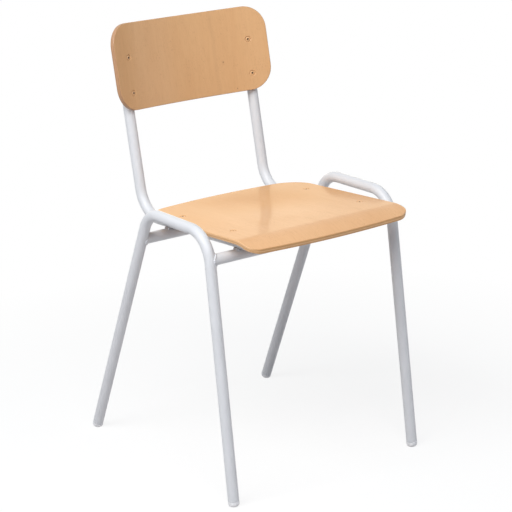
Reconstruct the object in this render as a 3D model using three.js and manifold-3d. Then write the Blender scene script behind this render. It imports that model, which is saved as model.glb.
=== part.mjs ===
// A stacking choir chair: a welded frame of bent steel tube with a moulded plywood seat and backrest.
// Units are millimetres. +Z is up, the floor is Z = 0 and the sitter faces -Y.
// Left is the -X side and right is the +X side, as seen from in front.
// The sizes below are measured from the middle of the four feet.

import * as THREE from 'three';
import { mergeVertices } from 'three/addons/utils/BufferGeometryUtils.js';
import Module from 'manifold-3d';

// Tube stock and fits
const tubeDiameter = 20;
const tubeWall = 1.5;
const seatingGap = 0.3; // left between pieces that touch
const cutOverrun = 3; // how far a cutting shape runs past what it cuts
const mergeDistance = 0.0005; // points closer than this are one point

// Side frames: each is an upside-down U, measured on the tube's centre line and its sharp corners
const frameHalfWidth = 200; // top rail from the middle of the chair
const frameSplay = 4; // how much further out each foot stands
const frameHeight = 483; // top rail above the floor
const footHalfDepth = 236; // feet ahead of and behind the middle
const frontKneeSetback = 53; // front corner behind the front foot
const rearKneeSetback = 231; // rear corner ahead of the rear foot
const frameBendRadius = 55;

// Cross tubes, welded between the legs just under the bends
const frontCrossDrop = 45; // below the top rail
const rearCrossDrop = 56;

// Seat rails and back posts: one bent tube on each side
const railInset = 61; // inside the top rail
const railOverhang = 17; // past the front cross tube
const postReach = 308; // front cross tube to the sharp corner under the post
const postLeanDegrees = 10.3; // from upright
const postBendRadius = 57;
const postTopReach = 50; // end of the post above the middle of the backrest

// Seat shell
const seatThickness = 8;
const fingerGap = 15; // between the seat's side edge and the top rail
const seatBendMargin = 2; // between the seat's rear edge and the start of the rail's bend
const seatRearCorner = 50;
const seatFrontCorner = 26;
const seatRearBow = 900; // radius of the rear edge in plan
const seatFrontBow = 2700; // radius of the front edge in plan
const seatRollStart = 39; // where the front starts to roll down, ahead of the front cross tube
const seatRollRadius = 90;
const seatLip = 56.5; // length of the rolled front along its curve
const dishDepth = 5;
const dishSetback = 145; // deepest line behind the front cross tube
const dishHalfLength = 130;

// Backrest shell
const backThickness = 8;
const backHeight = 160;
const backOverhang = 38.5; // past each post, along the curve
const backCorner = 44;
const backBendRadius = 415; // in plan, hollow towards the sitter
const backRise = 274; // middle of the backrest above the rail's sharp corner, along the post

// Blind rivets
const rivetHeadDiameter = 8.5;
const rivetHeadHeight = 1.1;
const rivetHeadEdge = 0.4; // thickness at the rim of the head
const rivetShankDiameter = 4.8;
const rivetBoreDiameter = 2.8;
const rivetTailDiameter = 6.8;
const rivetTailLength = 4.2;
const rivetTailTaper = 0.9;
const mandrelDiameter = 2.2;
const mandrelRecess = 0.6; // broken end below the top of the head
const mandrelHeadDiameter = 4.2;
const mandrelHeadLength = 2;
const sinkDiameter = 10;
const sinkDepth = 1.6;
const seatRivetFront = 15; // behind the front cross tube
const seatRivetRear = 175;
const backRivetAbove = 17; // above the middle of the backrest
const backRivetBelow = 48;

// Glides in the leg ends
const glideHeight = 10; // tube end above the floor
const glideDomeDepth = 6;
const glideSoleCut = 1.2; // depth of dome taken off by the flat sole
const glideSpigotLength = 18;

// End plugs in the posts and rails
const plugDomeDepth = 3;
const plugSpigotLength = 14;

// Barbs and tips of every spigot
const barbDepth = 0.7;
const barbLength = 2;
const barbCount = 2;
const spigotTip = 2;

// Welds
const ringBeadRadius = 2.2;
const ringBeadStandoff = 3; // least distance of a bead from the leg's centre plane
const saddleBeadRadius = 3;
const saddleBeadLength = 7;
const saddleBeadOffset = 7; // from the rail's centre line

// Counts of facets
const tubeSides = 16;
const plugSides = 12;
const frameBendSteps = 7;
const postBendSteps = 8;
const smallSides = 10;
const mandrelSides = 6;
const domeSteps = 3;
const cornerRows = 5;
const seatRollRows = 3;
const seatFlatRows = 8;
const seatColumns = 12;
const backMiddleRows = 3;
const backColumns = 14;
const ringBeadSides = 5;
const ringBeadSteps = 16;
const saddleBeadSides = 6;
const saddleCapSteps = 2;

// Sizes worked out from the ones above
const tubeRadius = tubeDiameter / 2;
const boreRadius = tubeRadius - tubeWall;
const clearRadius = tubeRadius + seatingGap;
const railHalfSpacing = frameHalfWidth - railInset;
const seatHalfWidth = frameHalfWidth - tubeRadius - fingerGap;
const sharpCorners = {
  front: { footY: -footHalfDepth, kneeY: -footHalfDepth + frontKneeSetback },
  rear: { footY: footHalfDepth, kneeY: footHalfDepth - rearKneeSetback },
};

const wasm = await Module();
wasm.setup();

// Points and paths

// The place on a leg's centre line at a height above the floor.
function legPoint(side, end, height) {
  const { footY, kneeY } = sharpCorners[end];
  const risen = height / frameHeight;
  const x = side * (frameHalfWidth + frameSplay * (1 - risen));
  return new THREE.Vector3(x, THREE.MathUtils.lerp(footY, kneeY, risen), height);
}

function legDirection(side, end) {
  return legPoint(side, end, frameHeight).sub(legPoint(side, end, 0)).normalize();
}

// A path whose sections stand exactly at its stations, each with a point and a direction.
class StationPath extends THREE.Curve {
  constructor(stations) {
    super();
    this.stations = stations;
  }

  getPoint(t, target = new THREE.Vector3()) {
    const last = this.stations.length - 1;
    const index = Math.min(Math.floor(t * last), last - 1);
    const next = this.stations[index + 1];
    return target.lerpVectors(this.stations[index].point, next.point, t * last - index);
  }

  getTangent(t, target = new THREE.Vector3()) {
    const index = Math.round(t * (this.stations.length - 1));
    return target.copy(this.stations[index].direction);
  }

  getUtoTmapping(u) {
    return u;
  }
}

// Straight runs between corner points, with an arc of one radius at each inner corner.
function bentStations(corners, bendRadius, bendSteps) {
  const last = corners.length - 1;
  const directions = corners.slice(1).map((corner, i) => corner.clone().sub(corners[i]).normalize());
  const stations = [{ point: corners[0], direction: directions[0] }];
  for (let i = 1; i < last; i += 1) {
    const before = directions[i - 1];
    const after = directions[i];
    const turn = before.angleTo(after);
    const inward = after.clone().addScaledVector(before, -before.dot(after)).normalize();
    const start = corners[i].clone().addScaledVector(before, -bendRadius * Math.tan(turn / 2));
    for (let step = 0; step <= bendSteps; step += 1) {
      const angle = (turn * step) / bendSteps;
      const point = start
        .clone()
        .addScaledVector(before, bendRadius * Math.sin(angle))
        .addScaledVector(inward, bendRadius * (1 - Math.cos(angle)));
      const direction = before
        .clone()
        .multiplyScalar(Math.cos(angle))
        .addScaledVector(inward, Math.sin(angle));
      stations.push({ point, direction });
    }
  }
  stations.push({ point: corners[last], direction: directions[last - 1] });
  return stations;
}

function straightStations(from, to) {
  const direction = to.clone().sub(from).normalize();
  return [from, to].map((point) => ({ point, direction }));
}

// Solids

// A closed geometry as a solid: shared points are merged and flat triangles left out.
function solidOf(geometry) {
  const bare = geometry.clone();
  bare.deleteAttribute('normal');
  bare.deleteAttribute('uv');
  const merged = mergeVertices(bare, mergeDistance);
  const corners = merged.index.array;
  const kept = [];
  for (let i = 0; i < corners.length; i += 3) {
    const [a, b, c] = corners.slice(i, i + 3);
    if (a !== b && b !== c && c !== a) kept.push(a, b, c);
  }
  const vertProperties = new Float32Array(merged.attributes.position.array);
  const triVerts = new Uint32Array(kept);
  return new wasm.Manifold(new wasm.Mesh({ numProp: 3, vertProperties, triVerts }));
}

function geometryOf(solid) {
  const { vertProperties, triVerts } = solid.getMesh();
  const geometry = new THREE.BufferGeometry();
  geometry.setAttribute('position', new THREE.BufferAttribute(new Float32Array(vertProperties), 3));
  geometry.setIndex(new THREE.BufferAttribute(new Uint32Array(triVerts), 1));
  geometry.computeVertexNormals();
  return geometry;
}

function meshOf(name, solid, material) {
  const mesh = new THREE.Mesh(geometryOf(solid), material);
  mesh.name = name;
  return mesh;
}

function ringPoints(radius) {
  const points = [];
  for (let i = 0; i < tubeSides; i += 1) {
    const angle = (2 * Math.PI * i) / tubeSides;
    points.push(new THREE.Vector2(radius * Math.cos(angle), radius * Math.sin(angle)));
  }
  return points;
}

function swept(shape, stations) {
  const extrudePath = new StationPath(stations);
  const steps = stations.length - 1;
  return new THREE.ExtrudeGeometry(shape, { steps, extrudePath, bevelEnabled: false });
}

function rod(stations, radius) {
  return solidOf(swept(new THREE.Shape(ringPoints(radius)), stations));
}

function pipe(stations) {
  const shape = new THREE.Shape(ringPoints(tubeRadius));
  shape.holes.push(new THREE.Path(ringPoints(boreRadius)));
  return solidOf(swept(shape, stations));
}

// A shape turned about +Z from pairs of radius and height, running upwards on its outside.
function turned(profile, sides) {
  const points = profile.map(([radius, height]) => new THREE.Vector2(radius, height));
  return solidOf(new THREE.LatheGeometry(points, sides).rotateX(Math.PI / 2));
}

function moved(solid, matrix) {
  return solid.transform(matrix.elements);
}

// The placing that puts +Z along a direction, with the origin at a point.
function placing(point, direction) {
  const turn = new THREE.Quaternion().setFromUnitVectors(new THREE.Vector3(0, 0, 1), direction);
  return new THREE.Matrix4().compose(point, turn, new THREE.Vector3(1, 1, 1));
}

// Frame tubes

function sideFrameStations(side, frontHeight, rearHeight) {
  const corners = [
    legPoint(side, 'front', frontHeight),
    legPoint(side, 'front', frameHeight),
    legPoint(side, 'rear', frameHeight),
    legPoint(side, 'rear', rearHeight),
  ];
  return bentStations(corners, frameBendRadius, frameBendSteps);
}

function sideFrame(side) {
  return pipe(sideFrameStations(side, glideHeight, glideHeight));
}

function crossCentre(end) {
  const drop = end === 'front' ? frontCrossDrop : rearCrossDrop;
  return legPoint(1, end, frameHeight - drop);
}

function crossStations(end) {
  const right = crossCentre(end);
  return straightStations(new THREE.Vector3(-right.x, right.y, right.z), right);
}

// A cross tube runs to the middle of both legs and is coped to sit against them.
function crossTube(end) {
  const coping = [-1, 1].map((side) => rod(sideFrameStations(side, 0, 0), clearRadius));
  return pipe(crossStations(end)).subtract(coping[0]).subtract(coping[1]);
}

// The bead follows the seam between a cross tube's end and the leg.
function ringBead(side, end) {
  const centre = crossCentre(end);
  const along = legDirection(side, end);
  const points = [];
  for (let i = 0; i < ringBeadSteps; i += 1) {
    const angle = (2 * Math.PI * i) / ringBeadSteps;
    const y = tubeRadius * Math.cos(angle);
    const z = tubeRadius * Math.sin(angle);
    const across = (y * along.z - z * along.y) / Math.hypot(along.y, along.z);
    const seam = Math.sqrt(Math.max(tubeRadius ** 2 - across ** 2, ringBeadStandoff ** 2));
    const legX = legPoint(side, end, centre.z + z).x;
    points.push(new THREE.Vector3(legX - side * seam, centre.y + y, centre.z + z));
  }
  const seamPath = new THREE.CatmullRomCurve3(points, true);
  const bead = new THREE.TubeGeometry(seamPath, ringBeadSteps, ringBeadRadius, ringBeadSides, true);
  return solidOf(bead)
    .subtract(rod(sideFrameStations(side, 0, 0), clearRadius))
    .subtract(rod(crossStations(end), clearRadius));
}

// The seat deck: its origin is on the rails' centre line above the front cross tube,
// +Y runs back along the rails and +Z stands square to them.
const deckSpan = crossCentre('rear').sub(crossCentre('front'));
const crossSpacing = Math.hypot(deckSpan.y, deckSpan.z);
const deckPitch = Math.atan2(-deckSpan.z, deckSpan.y);
const deckRise = tubeDiameter + seatingGap;
const deckTop = tubeRadius + seatingGap + seatThickness;
const deck = new THREE.Group();
deck.rotation.x = -deckPitch;
deck.position.set(
  0,
  crossCentre('front').y + deckRise * Math.sin(deckPitch),
  crossCentre('front').z + deckRise * Math.cos(deckPitch),
);

// The back frame: its origin is on the posts' centre plane at the middle of the backrest,
// +Z runs up along the posts and +Y stands square behind them.
const postLean = THREE.MathUtils.degToRad(postLeanDegrees) - deckPitch;
const postDirection = new THREE.Vector3(0, Math.sin(postLean), Math.cos(postLean));
const back = new THREE.Group();
back.rotation.x = -postLean;
back.position.set(0, postReach, 0).addScaledVector(postDirection, backRise);
back.updateMatrix();
deck.add(back);

function railCorners(side) {
  const x = side * railHalfSpacing;
  const front = new THREE.Vector3(x, -railOverhang, 0);
  const knee = new THREE.Vector3(x, postReach, 0);
  const top = knee.clone().addScaledVector(postDirection, backRise + postTopReach);
  return [front, knee, top];
}

function railStations(side) {
  return bentStations(railCorners(side), postBendRadius, postBendSteps);
}

// The rail and post is drilled in its upper or front wall for the rivets.
function railAndPost(side) {
  const drills = [...seatRivetPlacings(side), ...backRivetPlacings(side)];
  return drills.reduce((tube, place) => tube.subtract(moved(tubeDrill(place.grip), place.matrix)),
    pipe(railStations(side)));
}

// One fillet of weld in the corner between a rail and the cross tube under it.
function saddleBead(side, sideOfRail, end) {
  const y = end === 'front' ? 0 : crossSpacing;
  const x = side * railHalfSpacing + sideOfRail * saddleBeadOffset;
  const height = -(tubeRadius + seatingGap / 2);
  const bead = new THREE.CapsuleGeometry(
    saddleBeadRadius, saddleBeadLength, saddleCapSteps, saddleBeadSides,
  );
  const crossHalf = new THREE.Vector3(frameHalfWidth, y, -deckRise);
  const crossFrom = new THREE.Vector3(-crossHalf.x, y, -deckRise);
  return solidOf(bead.translate(x, y, height))
    .subtract(rod(railStations(side), clearRadius))
    .subtract(rod(straightStations(crossFrom, crossHalf), clearRadius));
}

// Plywood shells

// Places of rows across a rounded sheet: close together in both corners, even between.
function sheetRows(start, startCorner, end, endCorner, breaks) {
  const rows = [];
  for (let i = 0; i < cornerRows; i += 1) {
    rows.push(start + startCorner * (1 - Math.cos((Math.PI * i) / (2 * cornerRows))));
  }
  const stops = [start + startCorner, ...breaks.map(({ place }) => place)];
  stops.slice(1).forEach((stop, i) => {
    for (let row = 0; row < breaks[i].rows; row += 1) {
      rows.push(THREE.MathUtils.lerp(stops[i], stop, row / breaks[i].rows));
    }
  });
  for (let i = cornerRows; i >= 0; i -= 1) {
    rows.push(end - endCorner * (1 - Math.cos((Math.PI * i) / (2 * cornerRows))));
  }
  return rows;
}

// Half the width of a rounded sheet at a distance in from its nearer end.
function roundedHalfWidth(halfWidth, corner, inward) {
  const left = Math.max(corner - inward, 0);
  return halfWidth - corner + Math.sqrt(corner ** 2 - left ** 2);
}

// A sheet of even thickness on a curved face. The face gives a point and an outward direction.
function bentSheet(rows, columns, halfWidthAt, face, thickness) {
  const sheet = new THREE.BoxGeometry(1, 1, 1, columns, rows.length - 1, 1);
  const places = sheet.attributes.position;
  for (let i = 0; i < places.count; i += 1) {
    const row = rows[Math.round((places.getY(i) + 0.5) * (rows.length - 1))];
    const { point, outward } = face(2 * places.getX(i) * halfWidthAt(row), row);
    if (places.getZ(i) < 0) point.addScaledVector(outward, -thickness);
    places.setXYZ(i, point.x, point.y, point.z);
  }
  return solidOf(sheet);
}

// How far the rear edge of the seat lies ahead of its middle, at a distance off the middle.
function seatEdgeDrop(x) {
  const past = Math.max(x - (seatHalfWidth - seatRearCorner), 0);
  const corner = seatRearCorner - Math.sqrt(seatRearCorner ** 2 - past ** 2);
  return x ** 2 / (2 * seatRearBow) + corner;
}

const railBendStart = postReach - postBendRadius * Math.tan((Math.PI / 2 - postLean) / 2);
const seatRearEdge = railBendStart - seatBendMargin + seatEdgeDrop(railHalfSpacing);
const seatFrontEdge = -seatRollStart - seatLip;

function dishAt(x, y) {
  const acrossShare = Math.min(Math.abs(x) / (railHalfSpacing - tubeRadius), 1);
  const alongShare = Math.min(Math.abs(y - dishSetback) / dishHalfLength, 1);
  return dishDepth * (1 - acrossShare ** 2) ** 2 * (1 - alongShare ** 2) ** 2;
}

// The seat's upper face, on the deck. Rows run from the front edge to the rear edge.
function seatFace(x, row) {
  const rearShare = (row - seatFrontEdge) / (seatRearEdge - seatFrontEdge);
  const rearBow = x ** 2 / (2 * seatRearBow);
  const frontBow = x ** 2 / (2 * seatFrontBow);
  const y = row - rearBow * rearShare + frontBow * (1 - rearShare);
  const rolled = Math.max(-seatRollStart - y, 0);
  const angle = rolled / seatRollRadius;
  const outward = new THREE.Vector3(0, -Math.sin(angle), Math.cos(angle));
  const point = new THREE.Vector3(x, Math.max(y, -seatRollStart), deckTop - dishAt(x, y));
  point.y -= seatRollRadius * Math.sin(angle);
  point.z -= seatRollRadius * (1 - Math.cos(angle));
  return { point, outward };
}

function seatShell() {
  const breaks = [
    { place: -seatRollStart, rows: seatRollRows },
    { place: seatRearEdge - seatRearCorner, rows: seatFlatRows },
  ];
  const rows = sheetRows(seatFrontEdge, seatFrontCorner, seatRearEdge, seatRearCorner, breaks);
  const halfWidthAt = (row) => Math.min(
    roundedHalfWidth(seatHalfWidth, seatFrontCorner, row - seatFrontEdge),
    roundedHalfWidth(seatHalfWidth, seatRearCorner, seatRearEdge - row),
  );
  const blank = bentSheet(rows, seatColumns, halfWidthAt, seatFace, seatThickness);
  const drills = [-1, 1].flatMap(seatRivetPlacings);
  return drills.reduce((shell, place) => shell.subtract(moved(sheetDrill(place.grip), place.matrix)),
    blank);
}

// The backrest's bend: its axis stands ahead of the posts so that its rear face meets them.
const backPostRadius = backBendRadius + backThickness + seatingGap + tubeRadius;
const backAxisSetback = Math.sqrt(backPostRadius ** 2 - railHalfSpacing ** 2);
const backPostAngle = Math.asin(railHalfSpacing / backPostRadius);
const backHalfWidth = backBendRadius * backPostAngle + backOverhang;

// The backrest's front face. Rows run from the lower edge to the upper edge.
function backFace(along, row) {
  const angle = along / backBendRadius;
  const outward = new THREE.Vector3(-Math.sin(angle), -Math.cos(angle), 0);
  const point = new THREE.Vector3(0, -backAxisSetback, row).addScaledVector(outward, -backBendRadius);
  return { point, outward };
}

function backShell() {
  const half = backHeight / 2;
  const breaks = [{ place: half - backCorner, rows: backMiddleRows }];
  const rows = sheetRows(-half, backCorner, half, backCorner, breaks);
  const halfWidthAt = (row) => roundedHalfWidth(backHalfWidth, backCorner, half - Math.abs(row));
  const blank = bentSheet(rows, backColumns, halfWidthAt, backFace, backThickness);
  const drills = [-1, 1].flatMap(backRivetSeats);
  return drills.reduce((shell, place) => shell.subtract(moved(sheetDrill(place.grip), place.matrix)),
    blank);
}

// Rivets: each lies along its own +Z, with its origin on the face of the shell

function seatRivetPlacings(side) {
  return [seatRivetFront, seatRivetRear].map((y, i) => {
    const point = new THREE.Vector3(side * railHalfSpacing, y, deckTop);
    const matrix = placing(point, new THREE.Vector3(0, 0, 1));
    return { row: i === 0 ? 'front' : 'rear', grip: seatThickness, matrix };
  });
}

// Places of a post's rivets in the back frame.
function backRivetSeats(side) {
  return [backRivetAbove, -backRivetBelow].map((height, i) => {
    const { point, outward } = backFace(side * backPostAngle * backBendRadius, height);
    const matrix = placing(point, outward);
    return { row: i === 0 ? 'upper' : 'lower', grip: backThickness, matrix };
  });
}

// The same places on the deck, where the post is.
function backRivetPlacings(side) {
  return backRivetSeats(side).map((place) => {
    const matrix = back.matrix.clone().multiply(place.matrix);
    return { ...place, matrix };
  });
}

const rivetShankRadius = rivetShankDiameter / 2;
const rivetHoleRadius = rivetShankRadius + seatingGap;
const rivetTailRadius = rivetTailDiameter / 2;
const rivetHeadSeat = -sinkDepth + seatingGap;
const tailDepthInTube = tubeRadius - Math.sqrt(boreRadius ** 2 - rivetTailRadius ** 2);

function sheetDrill(grip) {
  const sinkRadius = sinkDiameter / 2;
  const bottom = -grip - cutOverrun;
  return turned([
    [0, bottom],
    [rivetHoleRadius, bottom],
    [rivetHoleRadius, -sinkDepth],
    [sinkRadius, -sinkDepth],
    [sinkRadius, cutOverrun],
    [0, cutOverrun],
  ], smallSides);
}

// Drills one wall of the tube: from its centre line out past its surface.
function tubeDrill(grip) {
  const surface = -(grip + seatingGap);
  return turned([
    [0, surface - tubeRadius],
    [rivetHoleRadius, surface - tubeRadius],
    [rivetHoleRadius, surface + cutOverrun],
    [0, surface + cutOverrun],
  ], smallSides);
}

function rivetTailTop(grip) {
  return -(grip + seatingGap + tailDepthInTube + seatingGap);
}

function rivetBody(grip) {
  const boreOfRivet = rivetBoreDiameter / 2;
  const headRadius = rivetHeadDiameter / 2;
  const tailTop = rivetTailTop(grip);
  const tailEnd = tailTop - rivetTailLength;
  return turned([
    [boreOfRivet, tailEnd],
    [rivetShankRadius, tailEnd],
    [rivetTailRadius, tailEnd + rivetTailTaper],
    [rivetTailRadius, tailTop - rivetTailTaper],
    [rivetShankRadius, tailTop],
    [rivetShankRadius, rivetHeadSeat],
    [headRadius, rivetHeadSeat],
    [headRadius, rivetHeadSeat + rivetHeadEdge],
    [boreOfRivet, rivetHeadSeat + rivetHeadHeight],
    [boreOfRivet, tailEnd],
  ], smallSides);
}

function mandrel(grip) {
  const stemRadius = mandrelDiameter / 2;
  const headRadius = mandrelHeadDiameter / 2;
  const stemTop = rivetHeadSeat + rivetHeadHeight - mandrelRecess;
  const headTop = rivetTailTop(grip) - rivetTailLength - seatingGap;
  return turned([
    [0, headTop - mandrelHeadLength],
    [headRadius, headTop - mandrelHeadLength],
    [headRadius, headTop],
    [stemRadius, headTop],
    [stemRadius, stemTop],
    [0, stemTop],
  ], mandrelSides);
}

// Plugs and glides

// A spigot profile going up from a shoulder: barbs that bear on the bore, then a tapered tip.
function spigotProfile(shoulder, length) {
  const barbRadius = boreRadius - seatingGap;
  const coreRadius = barbRadius - barbDepth;
  const barbPitch = (length - spigotTip) / barbCount;
  const profile = [];
  for (let i = 0; i < barbCount; i += 1) {
    const start = shoulder + barbPitch * i;
    profile.push([barbRadius, start], [barbRadius, start + barbLength]);
    profile.push([coreRadius, start + barbLength], [coreRadius, start + barbPitch]);
  }
  const end = shoulder + length;
  profile.push([coreRadius - barbDepth, end], [0, end]);
  return profile;
}

// A plug lies along +Z, with its origin where the tube ends. Its dome points down.
function plugProfile(domeDepth, domeTop, shoulder, spigotLength) {
  const profile = [];
  for (let i = 0; i <= domeSteps; i += 1) {
    const angle = (Math.PI * i) / (2 * domeSteps);
    profile.push([tubeRadius * Math.sin(angle), domeTop - domeDepth * Math.cos(angle)]);
  }
  profile.push([tubeRadius, shoulder]);
  return [...profile, ...spigotProfile(shoulder, spigotLength)];
}

function endPlug() {
  return turned(plugProfile(plugDomeDepth, -2 * seatingGap, -seatingGap, plugSpigotLength), plugSides);
}

// A glide's dome reaches past the floor and is cut flat there, so each sole lies level.
function glide(side, end) {
  const along = legDirection(side, end);
  const leanSine = Math.hypot(along.x, along.y);
  const domeDrop = Math.hypot(tubeRadius * leanSine, glideDomeDepth * along.z);
  const domeTop = (domeDrop - glideSoleCut) / along.z;
  const shoulder = glideHeight / along.z - seatingGap;
  const whole = turned(plugProfile(glideDomeDepth, domeTop, shoulder, glideSpigotLength), tubeSides);
  const floorBlock = new THREE.BoxGeometry(tubeDiameter * 2, tubeDiameter * 2, tubeDiameter);
  const foot = legPoint(side, end, 0);
  const block = solidOf(floorBlock.translate(foot.x, foot.y, -tubeRadius));
  return moved(whole, placing(foot, along)).subtract(block);
}

// Materials

function powderCoat() {
  return new THREE.MeshStandardMaterial({ color: 0xd3d5d8, roughness: 0.38, metalness: 0.15 });
}

function beechPlywood() {
  return new THREE.MeshStandardMaterial({ color: 0xd8ab74, roughness: 0.45, metalness: 0 });
}

function greyPlastic() {
  return new THREE.MeshStandardMaterial({ color: 0xc6c7c9, roughness: 0.55, metalness: 0 });
}

function rivetAluminium() {
  return new THREE.MeshStandardMaterial({ color: 0xb9b4aa, roughness: 0.4, metalness: 1 });
}

function mandrelSteel() {
  return new THREE.MeshStandardMaterial({ color: 0x5b5650, roughness: 0.5, metalness: 1 });
}

// Assembly

const chair = new THREE.Group();
chair.add(deck);
const sides = [['left', -1], ['right', 1]];
const ends = ['front', 'rear'];

for (const end of ends) {
  chair.add(meshOf(`${end}_cross_tube`, crossTube(end), powderCoat()));
}

for (const [sideName, side] of sides) {
  chair.add(meshOf(`side_frame_${sideName}`, sideFrame(side), powderCoat()));
  deck.add(meshOf(`back_post_${sideName}`, railAndPost(side), powderCoat()));
  for (const end of ends) {
    chair.add(meshOf(`cross_weld_${end}_${sideName}`, ringBead(side, end), powderCoat()));
    chair.add(meshOf(`glide_${end}_${sideName}`, glide(side, end), greyPlastic()));
    for (const [railSide, direction] of [['outer', side], ['inner', -side]]) {
      const name = `rail_weld_${end}_${railSide}_${sideName}`;
      deck.add(meshOf(name, saddleBead(side, direction, end), powderCoat()));
    }
  }
}

deck.add(meshOf('seat_shell', seatShell(), beechPlywood()));
back.add(meshOf('backrest_shell', backShell(), beechPlywood()));

// Plugs point their domes out of the tube: forwards on a rail and upwards on a post.
for (const [sideName, side] of sides) {
  const corners = railCorners(side);
  const plugs = [['rail', corners[0], corners[1]], ['post', corners[2], corners[1]]];
  for (const [tubeName, from, to] of plugs) {
    const plug = meshOf(`${tubeName}_plug_${sideName}`, endPlug(), greyPlastic());
    plug.applyMatrix4(placing(from, to.clone().sub(from).normalize()));
    deck.add(plug);
  }
}

for (const [sideName, side] of sides) {
  const rows = [
    ...seatRivetPlacings(side).map((place) => ({ ...place, shell: 'seat', group: deck })),
    ...backRivetSeats(side).map((place) => ({ ...place, shell: 'backrest', group: back })),
  ];
  for (const { shell, group, row, grip, matrix } of rows) {
    const rivet = meshOf(`${shell}_rivet_${row}_${sideName}`, rivetBody(grip), rivetAluminium());
    const pin = meshOf(`${shell}_mandrel_${row}_${sideName}`, mandrel(grip), mandrelSteel());
    for (const piece of [rivet, pin]) {
      piece.applyMatrix4(matrix);
      group.add(piece);
    }
  }
}

// The origin goes on the floor under the middle of the chair's overall depth.
chair.updateMatrixWorld(true);
const overall = new THREE.Box3().setFromObject(chair, true);
chair.position.y = -overall.getCenter(new THREE.Vector3()).y;
chair.updateMatrixWorld(true);

export default chair;
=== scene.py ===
import math

import bmesh
import bpy
from mathutils import Matrix, Vector


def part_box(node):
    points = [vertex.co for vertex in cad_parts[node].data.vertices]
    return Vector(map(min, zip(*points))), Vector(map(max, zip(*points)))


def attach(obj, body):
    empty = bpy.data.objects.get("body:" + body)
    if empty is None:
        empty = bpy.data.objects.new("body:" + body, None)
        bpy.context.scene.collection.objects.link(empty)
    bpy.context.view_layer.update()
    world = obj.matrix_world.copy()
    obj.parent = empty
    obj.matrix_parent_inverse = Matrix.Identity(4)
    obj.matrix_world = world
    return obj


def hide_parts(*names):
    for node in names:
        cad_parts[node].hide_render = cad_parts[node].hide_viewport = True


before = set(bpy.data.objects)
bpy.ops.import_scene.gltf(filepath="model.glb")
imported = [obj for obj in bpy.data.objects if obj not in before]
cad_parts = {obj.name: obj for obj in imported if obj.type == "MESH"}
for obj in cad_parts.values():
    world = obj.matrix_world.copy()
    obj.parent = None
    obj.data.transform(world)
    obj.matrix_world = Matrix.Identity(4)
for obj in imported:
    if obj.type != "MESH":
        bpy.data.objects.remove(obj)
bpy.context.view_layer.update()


# Side frames
# Each is one length of 20 mm round steel tube with a 1.5 mm wall, bent twice on a rotary bender into
# an upside-down U: front leg, top rail and rear leg. The welded frame is powder coated light grey.

TUBE_RADIUS = 0.010
TUBE_WALL = 0.0015
SEATING_GAP = 0.0003
TUBE_SIDES = 48
BEND_STEPS = 24
RAIL_SPREAD = 0.200  # top rail from the chair's middle plane
FOOT_SPLAY = 0.004  # how much further out each foot stands
LEG_RUN = {"front": 0.053, "rear": -0.231}  # how far each leg runs back on its way up
FRAME_BEND_RADIUS = 0.055
TUBE_END_HEIGHT = 0.010  # the open leg end above the floor
CREASE = math.radians(34)  # edges sharper than this stay crisp

TOP_RAIL_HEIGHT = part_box("side_frame_left")[1].z - TUBE_RADIUS
SIDES = {"left": -1, "right": 1}
ENDS = ("front", "rear")


class Wire:
    """An output socket of a node. Sums of wires and plain numbers become Math nodes."""

    def __init__(self, tree, socket=None):
        self.tree = tree
        self.socket = socket

    def node(self, kind, settings=None, inputs=None, output=0):
        """Adds a node, sets it up, fills its sockets with values or wires and gives one output."""
        made = self.tree.nodes.new(kind)
        for setting, value in (settings or {}).items():
            setattr(made, setting, value)
        for socket, value in (inputs or {}).items():
            if isinstance(value, Wire):
                self.tree.links.new(value.socket, made.inputs[socket])
            else:
                made.inputs[socket].default_value = value
        return Wire(self.tree, made.outputs[output])

    def maths(self, operation, first, second=0.0):
        return self.node("ShaderNodeMath", {"operation": operation}, {0: first, 1: second})

    def blend(self, first, second):
        """A colour that goes from the first to the second as this wire goes from 0 to 1."""
        settings = {"data_type": "RGBA"}
        return self.node("ShaderNodeMix", settings, {0: self, 6: first, 7: second}, output=2)

    def between(self, low, high):
        """This wire stretched so that low becomes 0 and high becomes 1, held there beyond."""
        limits = {"Value": self, "From Min": low, "From Max": high}
        return self.node("ShaderNodeMapRange", {}, limits)

    def __add__(self, other):
        return self.maths("ADD", self, other)

    __radd__ = __add__

    def __sub__(self, other):
        return self.maths("SUBTRACT", self, other)

    def __rsub__(self, other):
        return self.maths("SUBTRACT", other, self)

    def __mul__(self, other):
        return self.maths("MULTIPLY", self, other)

    __rmul__ = __mul__


def finish_of(name, even, varied):
    """A material: even values are set on the shader's sockets, varied ones are wired to them."""
    finish = bpy.data.materials.new(name)
    finish.use_nodes = True
    tree = finish.node_tree
    shader = tree.nodes["Principled BSDF"]
    for socket, value in even.items():
        shader.inputs[socket].default_value = value
    for socket, wire in varied(Wire(tree)).items():
        tree.links.new(wire.socket, shader.inputs[socket])
    return finish


def noise(where, scale, detail=2.0, roughness=0.5):
    sockets = {"Vector": where, "Scale": scale, "Detail": detail, "Roughness": roughness}
    return where.node("ShaderNodeTexNoise", {}, sockets)


def bump(height, strength, distance):
    sockets = {"Height": height, "Strength": strength, "Distance": distance}
    return height.node("ShaderNodeBump", {}, sockets)


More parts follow.
